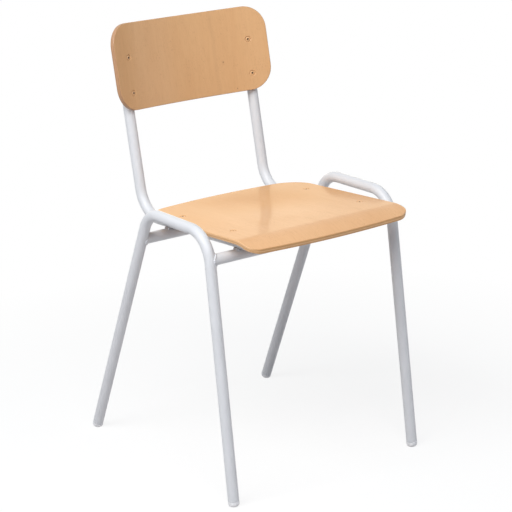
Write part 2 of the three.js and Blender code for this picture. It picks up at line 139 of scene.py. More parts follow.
def powder_coating():
    """Light-grey powder coat: semi-gloss, with the fine orange peel of a baked coat."""

    def varied(start):
        where = start.node("ShaderNodeTexCoord", output="Object")
        cloud = noise(where, 14.0).between(0.3, 0.7)
        grain = noise(where, 2600.0, 1.0)
        peel = noise(where, 620.0, 1.5)
        tone = cloud.blend((0.652, 0.662, 0.684, 1), (0.686, 0.696, 0.718, 1))
        return {
            "Base Color": (grain.between(0.35, 0.75) * 0.12).blend(tone, (0.80, 0.80, 0.81, 1)),
            "Roughness": 0.30 + grain * 0.10 + cloud * 0.04,
            "Normal": bump(peel + grain * 0.25, 0.10, 0.0004),
        }

    return finish_of("light_grey_powder_coat", {"IOR": 1.5, "Specular IOR Level": 0.4}, varied)


coated_steel = powder_coating()


def middle_of(node):
    low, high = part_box(node)
    return (low + high) / 2


cross_middles = {end: middle_of(f"{end}_cross_tube") for end in ENDS}


def leg_point(side, end, height):
    """A place on a leg's centre line. Each leg passes through the end of its cross tube."""
    cross = cross_middles[end]
    y = cross.y + LEG_RUN[end] * (height - cross.z) / TOP_RAIL_HEIGHT
    splay = FOOT_SPLAY * (1 - height / TOP_RAIL_HEIGHT)
    return Vector((side * (RAIL_SPREAD + splay), y, height))


def leg_direction(side, end):
    return (leg_point(side, end, TOP_RAIL_HEIGHT) - leg_point(side, end, 0)).normalized()


def stood_along(point, direction):
    """The placing that puts +Z along a direction, with the origin at a point."""
    return Matrix.Translation(point) @ direction.to_track_quat("Z", "Y").to_matrix().to_4x4()


def with_edges(faces):
    return faces + list({edge for face in faces for edge in face.edges})


def drawn_on(shape, section, travel):
    """Draws a tube's end face straight on and gives the end face at its new place."""
    grown = bmesh.ops.extrude_face_region(shape, geom=section)["geom"]
    moving = [item for item in grown if isinstance(item, bmesh.types.BMVert)]
    bmesh.ops.translate(shape, verts=moving, vec=travel)
    return with_edges([item for item in grown if isinstance(item, bmesh.types.BMFace)])


def tube_start(shape, place):
    """The ring-shaped end face that a tube is drawn from."""
    for radius in (TUBE_RADIUS, TUBE_RADIUS - TUBE_WALL):
        bmesh.ops.create_circle(shape, segments=TUBE_SIDES, radius=radius, matrix=place)
    return with_edges(bmesh.ops.bridge_loops(shape, edges=shape.edges[:])["faces"])


def bent_tube(corners, bend_radius):
    """A tube drawn straight between corner points and bent to one radius at each inner corner."""
    shape = bmesh.new()
    here = corners[0]
    heading = (corners[1] - here).normalized()
    section = tube_start(shape, stood_along(here, heading))
    for corner, beyond in zip(corners[1:-1], corners[2:]):
        next_heading = (beyond - corner).normalized()
        turn = heading.angle(next_heading)
        setback = bend_radius * math.tan(turn / 2)
        bend_start = corner - heading * setback
        section = drawn_on(shape, section, bend_start - here)
        axis = heading.cross(next_heading).normalized()
        centre = bend_start + axis.cross(heading) * bend_radius
        bent = bmesh.ops.spin(
            shape, geom=section, cent=centre, axis=axis, angle=turn, steps=BEND_STEPS
        )["geom_last"]
        section = with_edges([item for item in bent if isinstance(item, bmesh.types.BMFace)])
        here = corner + next_heading * setback
        heading = next_heading
    drawn_on(shape, section, corners[-1] - here)
    return shape


def face_outwards(shape):
    """Turns all faces of a closed shape outwards. The operator can turn a small one inside out."""
    bmesh.ops.recalc_face_normals(shape, faces=shape.faces)
    if shape.calc_volume(signed=True) < 0:
        bmesh.ops.reverse_faces(shape, faces=shape.faces)


def settle(shape):
    """Turns all faces outwards, shades them smooth and leaves the sharp edges crisp."""
    face_outwards(shape)
    for face in shape.faces:
        face.smooth = True
    for edge in shape.edges:
        edge.smooth = edge.calc_face_angle(0) < CREASE


def finished(name, shape, slot, finishes, *nodes):
    """Makes a shape an object that rides with the chair and stands for its nodes."""
    settle(shape)
    mesh = bpy.data.meshes.new(name)
    shape.to_mesh(mesh)
    shape.free()
    for finish in finishes:
        mesh.materials.append(finish)
    piece = bpy.data.objects.new(name, mesh)
    bpy.context.scene.collection.objects.link(piece)
    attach(piece, "root")
    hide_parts(*nodes)
    return piece


for side_name, side in SIDES.items():
    corners = [
        leg_point(side, "front", TUBE_END_HEIGHT),
        leg_point(side, "front", TOP_RAIL_HEIGHT),
        leg_point(side, "rear", TOP_RAIL_HEIGHT),
        leg_point(side, "rear", TUBE_END_HEIGHT),
    ]
    node = f"side_frame_{side_name}"
    bent = bent_tube(corners, FRAME_BEND_RADIUS)
    finished(f"{node}_bent_tube", bent, "powder_coat", [coated_steel], node)


# Cross tubes
# Two straight lengths of the same tube tie the side frames together just under their bends. Both
# ends are coped, cut to the curve of the leg, so that they sit closed against it for welding.


def across_leg(side, end, dy, dz):
    """How far a line along X, at a distance from the cross tube's middle, passes a leg's axis."""
    along = leg_direction(side, end)
    return (dy * along.z - dz * along.y) / math.hypot(along.y, along.z)


def leg_face(side, end, dy, dz, radius):
    """Where such a line meets a cylinder of some radius round the leg, on the inner side."""
    centre = cross_middles[end]
    reach = math.sqrt(max(radius**2 - across_leg(side, end, dy, dz) ** 2, 0))
    return leg_point(side, end, centre.z + dz).x - side * reach


for end in ENDS:
    node = f"{end}_cross_tube"
    centre = cross_middles[end]
    shape = bmesh.new()
    left_end = Vector((-RAIL_SPREAD, centre.y, centre.z))
    section = tube_start(shape, stood_along(left_end, Vector((1, 0, 0))))
    drawn_on(shape, section, Vector((2 * RAIL_SPREAD, 0, 0)))
    for vert in shape.verts:
        side = math.copysign(1, vert.co.x)
        offset = vert.co - centre
        vert.co.x = leg_face(side, end, offset.y, offset.z, TUBE_RADIUS + SEATING_GAP)
    finished(f"{node}_coped", shape, "powder_coat", [coated_steel], node)


# Weld beads round the cross tube ends
# A fillet of weld metal runs right round each coped end. It was laid in short overlapping pools, so
# it is rippled, and the powder coat lies over it as it does over the tubes.

RING_BEAD_RADIUS = 0.0023
RING_BEAD_CENTRE = 0.003  # least distance of the bead from the leg's centre plane
RING_BEAD_SIDES = 16
RING_BEAD_STEPS = 144
POOL_COUNT = 17  # pools of weld metal round one end
POOL_SWELL = 0.20  # how much fatter a pool is than the dip beside it


def pool_swell(turn):
    """The swelling of a bead: round over each pool, with a sharp dip between two."""
    return 1 - POOL_SWELL + POOL_SWELL * abs(math.cos(turn / 2))


for end in ENDS:
    centre = cross_middles[end]
    for side_name, side in SIDES.items():
        shape = bmesh.new()
        start = Matrix.Translation((0, TUBE_RADIUS, 0))
        bmesh.ops.create_circle(
            shape, segments=RING_BEAD_SIDES, radius=RING_BEAD_RADIUS, matrix=start
        )
        bmesh.ops.spin(
            shape, geom=shape.verts[:] + shape.edges[:], cent=(0, 0, 0), axis=(1, 0, 0),
            angle=2 * math.pi, steps=RING_BEAD_STEPS, use_merge=True,
        )
        for vert in shape.verts:
            turn = math.atan2(vert.co.z, vert.co.y)
            seam = Vector((0, TUBE_RADIUS * math.cos(turn), TUBE_RADIUS * math.sin(turn)))
            swelling = (vert.co - seam) * pool_swell(turn * POOL_COUNT)
            inner = leg_face(side, end, seam.y, seam.z, TUBE_RADIUS)
            nearest = leg_point(side, end, centre.z + seam.z).x - side * RING_BEAD_CENTRE
            seam.x = min(side * inner, side * nearest) * side
            vert.co = Vector((0, centre.y, centre.z)) + seam + swelling
        node = f"cross_weld_{end}_{side_name}"
        finished(f"{node}_bead", shape, "powder_coat", [coated_steel], node)


# Seat rails and back posts
# One tube a side lies along both cross tubes as a seat rail, then turns up as a back post. It was
# bent once, on the same bender as the frames, and is welded down where it crosses the cross tubes.

RAIL_INSET = 0.061  # inside the top rail
RAIL_OVERHANG = 0.017  # past the front cross tube
POST_REACH = 0.308  # front cross tube to the sharp corner under the post
POST_LEAN = math.radians(10.3)  # from upright
POST_BEND_RADIUS = 0.057
BACK_RISE = 0.274  # middle of the backrest above the rail's sharp corner, along the post
POST_TOP_REACH = 0.050  # end of the post above the middle of the backrest

rail_spread = RAIL_SPREAD - RAIL_INSET
front_cross = cross_middles["front"]
cross_span = cross_middles["rear"] - front_cross
deck_pitch = math.atan2(-cross_span.z, cross_span.y)
deck_rise = 2 * TUBE_RADIUS + SEATING_GAP

# The deck lies on the rails' centre line: +Y runs back along them and +Z stands square to them.
deck_origin = front_cross + Vector((0, math.sin(deck_pitch), math.cos(deck_pitch))) * deck_rise
deck = Matrix.Translation(deck_origin) @ Matrix.Rotation(-deck_pitch, 4, "X")

# The back frame stands on the posts' centre plane at the middle of the backrest.
post_direction = Vector((0, math.sin(POST_LEAN - deck_pitch), math.cos(POST_LEAN - deck_pitch)))
back_middle = Vector((0, POST_REACH, 0)) + post_direction * BACK_RISE
back_frame = deck @ Matrix.Translation(back_middle) @ Matrix.Rotation(deck_pitch - POST_LEAN, 4, "X")


def rail_corners(side):
    """Front end of the rail, sharp corner and top end of the post."""
    knee = Vector((side * rail_spread, POST_REACH, 0))
    front = Vector((knee.x, -RAIL_OVERHANG, 0))
    top = knee + post_direction * (BACK_RISE + POST_TOP_REACH)
    return [deck @ corner for corner in (front, knee, top)]


back_posts = {}
for side_name, side in SIDES.items():
    node = f"back_post_{side_name}"
    bent = bent_tube(rail_corners(side), POST_BEND_RADIUS)
    back_posts[side] = finished(f"{node}_bent_tube", bent, "powder_coat", [coated_steel], node)


# Weld fillets under the seat rails
# Where a rail crosses a cross tube, a short run of weld is laid in the corner on either side of it,
# a few pools long, and coated with the rest of the frame.

FILLET_RADIUS = 0.0031
FILLET_LENGTH = 0.0135
FILLET_OFFSET = 0.0068  # from the rail's centre line
FILLET_POOLS = 5
FILLET_STEPS = 40
FILLET_BLUNTNESS = 4  # the higher, the blunter its ends
SAME_PLACE = 1e-7  # points nearer than this count as one


def turned(profile, sides):
    """A chain of points, given as radius and height, spun round +Z."""
    shape = bmesh.new()
    chain = [shape.verts.new((radius, 0, height)) for radius, height in profile]
    links = [shape.edges.new(pair) for pair in zip(chain, chain[1:])]
    bmesh.ops.spin(
        shape, geom=chain + links, cent=(0, 0, 0), axis=(0, 0, 1), angle=2 * math.pi, steps=sides,
        use_merge=True,
    )
    bmesh.ops.remove_doubles(shape, verts=shape.verts, dist=SAME_PLACE)
    return shape


def fillet_profile():
    """A round-ended run, swollen over each pool."""
    half = FILLET_LENGTH / 2
    profile = []
    for step in range(FILLET_STEPS + 1):
        turn = math.pi * step / FILLET_STEPS
        height = -half * math.cos(turn)
        blunt = math.sqrt(max(1 - (height / half) ** FILLET_BLUNTNESS, 0))
        swell = pool_swell(2 * math.pi * FILLET_POOLS * (height + half) / FILLET_LENGTH)
        profile.append((FILLET_RADIUS * blunt * swell, height))
    return profile


for side_name, side in SIDES.items():
    for end, y in (("front", 0), ("rear", cross_span.length)):
        for rail_side, direction in (("outer", side), ("inner", -side)):
            shape = turned(fillet_profile(), RING_BEAD_SIDES)
            corner = Vector((
                side * rail_spread + direction * FILLET_OFFSET, y, -TUBE_RADIUS - SEATING_GAP / 2,
            ))
            shape.transform(deck @ stood_along(corner, Vector((0, 1, 0))))
            node = f"rail_weld_{end}_{rail_side}_{side_name}"
            finished(f"{node}_bead", shape, "powder_coat", [coated_steel], node)


# Glides
# A moulded plastic glide is driven into each leg end. Barbs on its spigot hold it in the bore, and
# its domed head, as wide as the tube, wears flat where it stands on the floor.

GLIDE_DOME_DEPTH = 0.006
GLIDE_SOLE_CUT = 0.0012  # depth of dome that the flat sole takes off
GLIDE_SPIGOT_LENGTH = 0.018
BARB_DEPTH = 0.0007
BARB_LENGTH = 0.002
BARB_COUNT = 2
SHOULDER_ROUND = 0.0007
SPIGOT_TIP = 0.002
DOME_STEPS = 14

bore_radius = TUBE_RADIUS - TUBE_WALL


def moulded_plastic():
    """Light-grey polyethylene: matt, faintly mottled, with a fine spark-eroded grain."""

    def varied(start):
        where = start.node("ShaderNodeTexCoord", output="Object")
        mottle = noise(where, 120.0).between(0.3, 0.7)
        grain = noise(where, 3800.0, 1.0)
        return {
            "Base Color": mottle.blend((0.78, 0.785, 0.80, 1), (0.84, 0.84, 0.85, 1)),
            "Roughness": 0.48 + grain * 0.14,
            "Normal": bump(grain, 0.16, 0.0002),
        }

    return finish_of("light_grey_moulded_plastic", {"IOR": 1.5}, varied)


grey_plastic = moulded_plastic()


def spigot_profile(shoulder, length):
    """Going up from a shoulder: barbs that bear on the bore, then a tapered tip."""
    barb_radius = bore_radius - SEATING_GAP
    core_radius = barb_radius - BARB_DEPTH
    pitch = (length - SPIGOT_TIP) / BARB_COUNT
    profile = []
    for start in (shoulder + pitch * count for count in range(BARB_COUNT)):
        profile += [(barb_radius, start), (barb_radius, start + BARB_LENGTH)]
        profile += [(core_radius, start + BARB_LENGTH), (core_radius, start + pitch)]
    top = shoulder + length
    return profile + [(core_radius - BARB_DEPTH, top), (0, top)]


def plug_profile(dome_depth, dome_top, shoulder, spigot_length):
    """A dome that points down, a straight collar, a softened shoulder and the spigot."""
    profile = []
    for step in range(DOME_STEPS + 1):
        turn = math.pi / 2 * step / DOME_STEPS
        profile.append((TUBE_RADIUS * math.sin(turn), dome_top - dome_depth * math.cos(turn)))
    profile.append((TUBE_RADIUS, shoulder - SHOULDER_ROUND))
    profile.append((TUBE_RADIUS - SHOULDER_ROUND, shoulder))
    return profile + spigot_profile(shoulder, spigot_length)


def glide(side, end):
    """A glide in line with its leg, cut level at the floor."""
    along = leg_direction(side, end)
    drop = math.hypot(TUBE_RADIUS * math.hypot(along.x, along.y), GLIDE_DOME_DEPTH * along.z)
    dome_top = (drop - GLIDE_SOLE_CUT) / along.z
    shoulder = TUBE_END_HEIGHT / along.z - SEATING_GAP
    profile = plug_profile(GLIDE_DOME_DEPTH, dome_top, shoulder, GLIDE_SPIGOT_LENGTH)
    shape = turned(profile, TUBE_SIDES)
    shape.transform(stood_along(leg_point(side, end, 0), along))
    whole = shape.verts[:] + shape.edges[:] + shape.faces[:]
    cut = bmesh.ops.bisect_plane(
        shape, geom=whole, dist=SAME_PLACE, plane_co=(0, 0, 0), plane_no=(0, 0, -1),
        clear_outer=True,
    )["geom_cut"]
    rim = [item for item in cut if isinstance(item, bmesh.types.BMEdge)]
    bmesh.ops.edgeloop_fill(shape, edges=rim)
    return shape


for side_name, side in SIDES.items():
    for end in ENDS:
        node = f"glide_{end}_{side_name}"
        finished(f"{node}_moulding", glide(side, end), "grey_plastic", [grey_plastic], node)


# End plugs
# The same kind of moulding, with a flatter dome, closes the front end of each seat rail and the top
# of each back post. They are pressed in after coating.

PLUG_DOME_DEPTH = 0.003
PLUG_SPIGOT_LENGTH = 0.014

for side_name, side in SIDES.items():
    front, knee, top = rail_corners(side)
    for tube, start in (("rail", front), ("post", top)):
        inwards = (knee - start).normalized()
        profile = plug_profile(
            PLUG_DOME_DEPTH, -2 * SEATING_GAP, -SEATING_GAP, PLUG_SPIGOT_LENGTH
        )
        shape = turned(profile, TUBE_SIDES)
        shape.transform(stood_along(start, inwards))
        node = f"{tube}_plug_{side_name}"
        finished(f"{node}_moulding", shape, "grey_plastic", [grey_plastic], node)


# Seat shell
# Five beech veneers are glued and pressed hot to a shallow dish with a rolled front edge, then
# trimmed, sunk for its four rivets, sanded round at the edges and sprayed with satin lacquer.

SEAT_THICKNESS = 0.008
FINGER_GAP = 0.015  # between the seat's side edge and the top rail
SEAT_BEND_MARGIN = 0.002  # between the rear edge and the start of the rail's bend
SEAT_REAR_CORNER = 0.050
SEAT_FRONT_CORNER = 0.026
SEAT_REAR_BOW = 0.900  # radius of the rear edge in plan
SEAT_FRONT_BOW = 2.700
ROLL_START = -0.0365  # where the front starts to roll down, on the deck
ROLL_EASE = 0.010  # the roll tightens over this length
ROLL_RADIUS = 0.0825
ROLL_STEPS = 12
SEAT_LIP = 0.0600  # length of the rolled front along its curve
FRONT_LEAN = 0.0042  # the front cut is nearly upright: the face veneer ends this much earlier
FRONT_LEAN_REACH = 0.020  # the lean dies out over this length
DISH_DEPTH = 0.005
DISH_MIDDLE = 0.145
DISH_HALF_LENGTH = 0.130
SEAT_RIVET_ROWS = {"front": 0.015, "rear": 0.175}
SINK_RADIUS = 0.005
SINK_DEPTH = 0.0016
CHAMFER_DEPTH = 0.0009  # the sunk hole's rim is eased
CHAMFER_SLOPE = 1.35  # outwards for each step down
RIVET_RADIUS = 0.0024
EDGE_ROUND = 0.0015
EDGE_ROUND_STEPS = 3
EDGE_TILT = 0.8  # faces that lean more than this show the cut veneers
CORNER_STEPS = 18
PLY_COUNT = 5
PRESS_STEP = 0.005  # spacing of the cuts that let the flat blank bend
CUT_OVERRUN = 0.003  # drills start and end this far outside
LARGE_FACES_LEAD = 80  # weight of large faces in the shading, up to 100
# Painted shade: the seat's face is painted darker behind the front cross tube, fading in over
# SEAT_SHADE_REACH.
SEAT_SHADE_REACH = 0.15  # the face darkens over this length behind the front cross tube
SEAT_SHADE = 0.6

seat_half_width = RAIL_SPREAD - TUBE_RADIUS - FINGER_GAP
rivet_hole = RIVET_RADIUS + SEATING_GAP


def rear_edge_drop(x):
    """How far the rear edge lies ahead of its middle, at a distance off the middle."""
    past = max(x - (seat_half_width - SEAT_REAR_CORNER), 0)
    return x**2 / (2 * SEAT_REAR_BOW) + SEAT_REAR_CORNER - math.sqrt(SEAT_REAR_CORNER**2 - past**2)


post_bend = math.pi / 2 - (POST_LEAN - deck_pitch)
rail_bend_start = POST_REACH - POST_BEND_RADIUS * math.tan(post_bend / 2)
seat_rear = rail_bend_start - SEAT_BEND_MARGIN + rear_edge_drop(rail_spread)
seat_front = ROLL_START - SEAT_LIP


def kept_place(start):
    """Where a point lay before its piece was pressed or set. In wood: across, along and deep."""
    return start.node("ShaderNodeAttribute", {"attribute_name": "blank"}, output="Vector")


def stretched(where, across, along):
    """Blank coordinates drawn out along the grain, so that a pattern on them becomes streaks."""
    scale = {"Vector": where, "Scale": (across, along, across)}
    return where.node("ShaderNodeMapping", {}, scale)


def beech_face(name, pale, warm, marks_and_shade):
    """Sliced beech under satin lacquer: soft bands, fine pores and short brown ray flecks."""

    def varied(start):
        where = kept_place(start)
        band = noise(stretched(where, 1, 0.12), 16.0, 3.0).between(0.32, 0.68)
        streak = noise(stretched(where, 1, 0.10), 110.0, 3.0).between(0.35, 0.65)
        fibre = noise(stretched(where, 1, 0.035), 420.0, 4.0, 0.65)
        fleck = noise(stretched(where, 1, 0.16), 1200.0, 1.0).between(0.60, 0.72)
        dash = noise(stretched(where, 1, 0.13), 430.0, 2.0).between(0.52, 0.72)
        thinning = noise(stretched(where, 1, 0.5), 40.0).between(0.42, 0.62)
        wood = (band * 0.7 + streak * 0.3).blend(pale, warm)
        lines = fibre.between(0.30, 0.70) * 0.15 + dash * 0.16
        lined = lines.blend(wood, (0.50, 0.28, 0.12, 1))
        flecked = (fleck * thinning * 0.45).blend(lined, (0.36, 0.18, 0.075, 1))
        return {
            # The seat passes painted shade in here, the backrest its streak and knots.
            "Base Color": marks_and_shade(where, flecked),
            "Roughness": 0.42 + fibre * 0.10 + band * 0.03,
            "Normal": bump(fibre - fleck * 0.3, 0.10, 0.0002),
        }

    even = {"IOR": 1.5, "Specular IOR Level": 0.05, "Coat Weight": 0.2, "Coat Roughness": 0.13}
    return finish_of(name, even, varied)


def ply_edge(name, half_width, corner, long_grain, end_grain):
    """The sanded edge of five veneers: the middle one lies across the others. End grain is darker."""

    def varied(start):
        where = kept_place(start)
        across = where.node("ShaderNodeSeparateXYZ", {}, {"Vector": where}, output="X")
        depth = where.node("ShaderNodeSeparateXYZ", {}, {"Vector": where}, output="Z")
        side = across.maths("ABSOLUTE", across).between(half_width - corner * 0.5, half_width)
        layer = depth * (-PLY_COUNT / SEAT_THICKNESS)
        outer = layer.maths("ABSOLUTE", layer - PLY_COUNT / 2).between(0.42, 0.58)
        seen_along = outer * side + (1 - outer) * (1 - side)
        glue = layer.maths("PINGPONG", layer, 0.5).between(0.09, 0.03)
        pore = noise(where, 1500.0, 3.0).between(0.35, 0.7)
        grain = noise(where, 160.0, 3.0).between(0.3, 0.7)
        plies = seen_along.blend(end_grain, long_grain)
        shaded = (grain * 0.12 + pore * 0.22).blend(plies, (0.30, 0.15, 0.06, 1))
        return {
            "Base Color": (glue * 0.35).blend(shaded, (0.28, 0.135, 0.055, 1)),
            "Roughness": 0.42 + pore * 0.14,
            "Normal": bump(pore + seen_along * 0.5, 0.20, 0.0002),
        }

    return finish_of(name, {"IOR": 1.5, "Coat Weight": 0.3, "Coat Roughness": 0.2}, varied)


def seat_painted_shade(where, colour):
    """Painted shade: the seat's face is painted a little darker towards the rear."""
    along = where.node("ShaderNodeSeparateXYZ", {}, {"Vector": where}, output="Y")
    shade = along.between(0.0, SEAT_SHADE_REACH) * SEAT_SHADE
    return shade.blend(colour, (0.73, 0.390, 0.158, 1))


seat_beech = beech_face(
    "beech_seat_face", (0.782, 0.470, 0.251, 1), (0.732, 0.422, 0.217, 1), seat_painted_shade
)
seat_edge = ply_edge(
    "beech_seat_edge", seat_half_width, SEAT_REAR_CORNER,
    (0.80, 0.485, 0.240, 1), (0.60, 0.315, 0.118, 1),
)


def rounded_blank(half_width, low, high, low_corner, high_corner):
    """A flat blank with rounded corners: its face lies on Z = 0 and its plies below it."""
    shape = bmesh.new()
    middle = (low + high) / 2
    bmesh.ops.create_grid(shape, x_segments=1, y_segments=1, size=0.5)
    bmesh.ops.scale(shape, vec=(2 * half_width, high - low, 1), verts=shape.verts)
    bmesh.ops.translate(shape, vec=(0, middle, 0), verts=shape.verts)
    low_end = [vert for vert in shape.verts if vert.co.y < middle]
    high_end = [vert for vert in shape.verts if vert.co.y > middle]
    for corners, radius in ((low_end, low_corner), (high_end, high_corner)):
        bmesh.ops.bevel(
            shape, geom=corners, offset=radius, segments=CORNER_STEPS, affect="VERTICES",
            profile=0.5, material=-1,
        )
    below = bmesh.ops.extrude_face_region(shape, geom=shape.faces[:])["geom"]
    lower = [item for item in below if isinstance(item, bmesh.types.BMVert)]
    bmesh.ops.translate(shape, verts=lower, vec=(0, 0, -SEAT_THICKNESS))
    bmesh.ops.recalc_face_normals(shape, faces=shape.faces)
    outline = [edge for edge in shape.edges if edge.verts[0].co.z == edge.verts[1].co.z]
    bmesh.ops.bevel(
        shape, geom=outline, offset=EDGE_ROUND, segments=EDGE_ROUND_STEPS, affect="EDGES",
        profile=0.5, material=-1,
    )
    return shape


def scored(shape, axis, low, high, step):
    """Cuts a blank across one axis at even steps, so that it can bend there."""
    count = math.ceil((high - low) / step)
    direction = [float(axis == way) for way in range(3)]
    for cut in range(1, count):
        place = [low + (high - low) * cut / count * part for part in direction]
        whole = shape.verts[:] + shape.edges[:] + shape.faces[:]
        bmesh.ops.bisect_plane(
            shape, geom=whole, dist=SAME_PLACE, plane_co=place, plane_no=direction
        )


def loose_object(name, shape):
    mesh = bpy.data.meshes.new(name)
    shape.to_mesh(mesh)
    shape.free()
    made = bpy.data.objects.new(name, mesh)
    bpy.context.scene.collection.objects.link(made)
    return made


def drilled(shape, bits):
    """Takes a set of drill shapes out of a shape."""
    joined = bmesh.new()
    for bit in bits:
        face_outwards(bit)
        mesh = bpy.data.meshes.new("bit")
        bit.to_mesh(mesh)
        bit.free()
        joined.from_mesh(mesh)
        bpy.data.meshes.remove(mesh)
    work = loose_object("work", shape)
    drill = loose_object("drill", joined)
    cut = work.modifiers.new("drilling", "BOOLEAN")
    cut.object = drill
    cut.operation = "DIFFERENCE"
    cut.solver = "EXACT"
    done = work.evaluated_get(bpy.context.evaluated_depsgraph_get())
    result = bmesh.new()
    result.from_mesh(done.to_mesh())
    done.to_mesh_clear()
    for spent in (work, drill):
        mesh = spent.data
        bpy.data.objects.remove(spent)
        bpy.data.meshes.remove(mesh)
    return result


def sink_bit(x, y):
    """Drills a rivet hole through the blank and sinks its face for the head."""
    bottom = -SEAT_THICKNESS - CUT_OVERRUN
    shape = turned(
        [
            (0, bottom), (rivet_hole, bottom), (rivet_hole, -SINK_DEPTH),
            (SINK_RADIUS, -SINK_DEPTH), (SINK_RADIUS, -CHAMFER_DEPTH),
            (SINK_RADIUS + CHAMFER_SLOPE * (CHAMFER_DEPTH + CUT_OVERRUN), CUT_OVERRUN),
            (0, CUT_OVERRUN),
        ],
        TUBE_SIDES,
    )
    shape.transform(Matrix.Translation((x, y, 0)))
    return shape


def noted(shape):
    """Keeps each point's place before pressing or setting, for the finishes."""
    flat = shape.verts.layers.float_vector.new("blank")
    for vert in shape.verts:
        vert[flat] = vert.co


def pressed(shape, form):
    """Marks the edge faces of a flat blank and presses it to a form."""
    noted(shape)
    for face in shape.faces:
        face.material_index = int(abs(face.normal.z) < EDGE_TILT)
    for vert in shape.verts:
        vert.co = form(vert.co)


def even_shading(piece):
    """Lets large faces lead the shading, so that only the rounded edges look round."""
    shading = piece.modifiers.new("even_shading", "WEIGHTED_NORMAL")
    shading.keep_sharp = True
    shading.weight = LARGE_FACES_LEAD


def bowed(place):
    """The seat's outline: the front and rear edges are shallow arcs, and the front cut leans."""
    share = (place.y - seat_front) / (seat_rear - seat_front)
    rear_bow = place.x**2 / (2 * SEAT_REAR_BOW)
    front_bow = place.x**2 / (2 * SEAT_FRONT_BOW)
    near_front = max(1 - (place.y - seat_front) / FRONT_LEAN_REACH, 0)
    lean = FRONT_LEAN * near_front * (1 + place.z / SEAT_THICKNESS)
    y = place.y - rear_bow * share + front_bow * (1 - share) + lean
    return Vector((place.x, y, place.z))


def dish(x, y):
    across = min(abs(x) / (rail_spread - TUBE_RADIUS), 1)
    along = min(abs(y - DISH_MIDDLE) / DISH_HALF_LENGTH, 1)
    return DISH_DEPTH * (1 - across**2) ** 2 * (1 - along**2) ** 2


def roll_turn(run):
    """How far the front has turned down at some length into the roll."""
    eased = min(run, ROLL_EASE)
    return (run - eased + eased**2 / (2 * ROLL_EASE)) / ROLL_RADIUS


def seat_form(place):
    """The press tool for the seat: flat at the rails, dished between them, rolled in front."""
    run = max(ROLL_START - place.y, 0)
    face = Vector((
        place.x, max(place.y, ROLL_START), TUBE_RADIUS + SEATING_GAP + SEAT_THICKNESS,
    ))
    for step in range(ROLL_STEPS):
        turn = roll_turn(run * (step + 0.5) / ROLL_STEPS)
        face -= Vector((0, math.cos(turn), math.sin(turn))) * run / ROLL_STEPS
    turn = roll_turn(run)
    outward = Vector((0, -math.sin(turn), math.cos(turn)))
    face.z -= dish(place.x, place.y)
    return deck @ (face + outward * place.z)


blank = rounded_blank(
    seat_half_width, seat_front, seat_rear, SEAT_FRONT_CORNER, SEAT_REAR_CORNER
)
scored(blank, 0, -seat_half_width, seat_half_width, PRESS_STEP)
scored(blank, 1, seat_front, seat_rear, PRESS_STEP)
for vert in blank.verts:
    vert.co = bowed(vert.co)
holes = [
    sink_bit(side * rail_spread, row)
    for side in SIDES.values() for row in SEAT_RIVET_ROWS.values()
]
blank = drilled(blank, holes)
blank.normal_update()
pressed(blank, seat_form)
seat = finished(
    "seat_shell_pressed", blank, "beech_plywood", [seat_beech, seat_edge], "seat_shell"
)
even_shading(seat)


# Backrest shell
# Pressed from the same five veneers, with the grain upright, to one even bend that is hollow towards
# the sitter. It lies against the front of both posts and is held by two sunk rivets on each.

BACK_HALF_HEIGHT = 0.080
BACK_OVERHANG = 0.0385  # past each post, along the curve
BACK_CORNER = 0.044
BACK_BEND_RADIUS = 0.415
BACK_RIVET_ROWS = {"upper": 0.017, "lower": -0.048}
BACK_STEP = 0.004  # spacing of the cuts along the bend
BACK_ROW_STEP = 0.016  # and up the backrest, where it stays straight
KNOTS = ((0.0798, -0.0197, 0.0013), (0.1017, -0.0732, 0.0009))  # pin knots: across, up, size
STREAK_PLACE = 0.065  # a darker streak of heartwood, right of the middle
STREAK_WIDTH = 0.008
STREAK_WANDER = 0.010
STREAK_STRENGTH = 0.12
KNOT_SQUASH = 0.6  # knots are longer along the grain, by the inverse of this
KNOT_HALO = 3  # radius of the brown halo, in knot sizes
KNOT_CORE = 0.4

post_radius = BACK_BEND_RADIUS + SEAT_THICKNESS + SEATING_GAP + TUBE_RADIUS
post_turn = math.asin(rail_spread / post_radius)
back_axis = -math.sqrt(post_radius**2 - rail_spread**2)
back_half_width = BACK_BEND_RADIUS * post_turn + BACK_OVERHANG


def back_marks(where, colour):
    """The backrest's own marks: one soft heartwood streak and two pin knots."""
    across = where.node("ShaderNodeSeparateXYZ", {}, {"Vector": where}, output="X")
    wander = noise(where, 14.0) * STREAK_WANDER - STREAK_WANDER / 2
    off = where.maths("ABSOLUTE", across + wander - STREAK_PLACE)
    streak = off.between(STREAK_WIDTH, 0.0) * STREAK_STRENGTH
    marked = streak.blend(colour, (0.42, 0.235, 0.11, 1))
    for knot_across, knot_up, size in KNOTS:
        middle = (knot_across, knot_up * KNOT_SQUASH, 0)
        sockets = {0: stretched(where, 1, KNOT_SQUASH), 1: middle}
        settings = {"operation": "DISTANCE"}
        distance = where.node("ShaderNodeVectorMath", settings, sockets, output="Value")
        halo = distance.between(size * KNOT_HALO, 0.0) * 0.25
        core = distance.between(size, size * KNOT_CORE) * 0.85
        marked = halo.blend(marked, (0.45, 0.25, 0.12, 1))
        marked = core.blend(marked, (0.22, 0.10, 0.04, 1))
    return marked


# Painted shade: the backrest's ply edge colours are painted darker than the seat's, for a dark rim along
# the backrest's outline.
back_edge = ply_edge(
    "beech_backrest_edge", back_half_width, BACK_CORNER,
    (0.41, 0.220, 0.116, 1), (0.48, 0.273, 0.145, 1),
)
back_beech = beech_face(
    "beech_backrest_face", (0.695, 0.414, 0.209, 1), (0.654, 0.375, 0.181, 1), back_marks
)


def back_form(place):
    """The press tool for the backrest: a cylinder that leans with the posts."""
    turn = place.x / BACK_BEND_RADIUS
    radius = BACK_BEND_RADIUS - place.z
    on_tool = Vector((radius * math.sin(turn), back_axis + radius * math.cos(turn), place.y))
    return back_frame @ on_tool


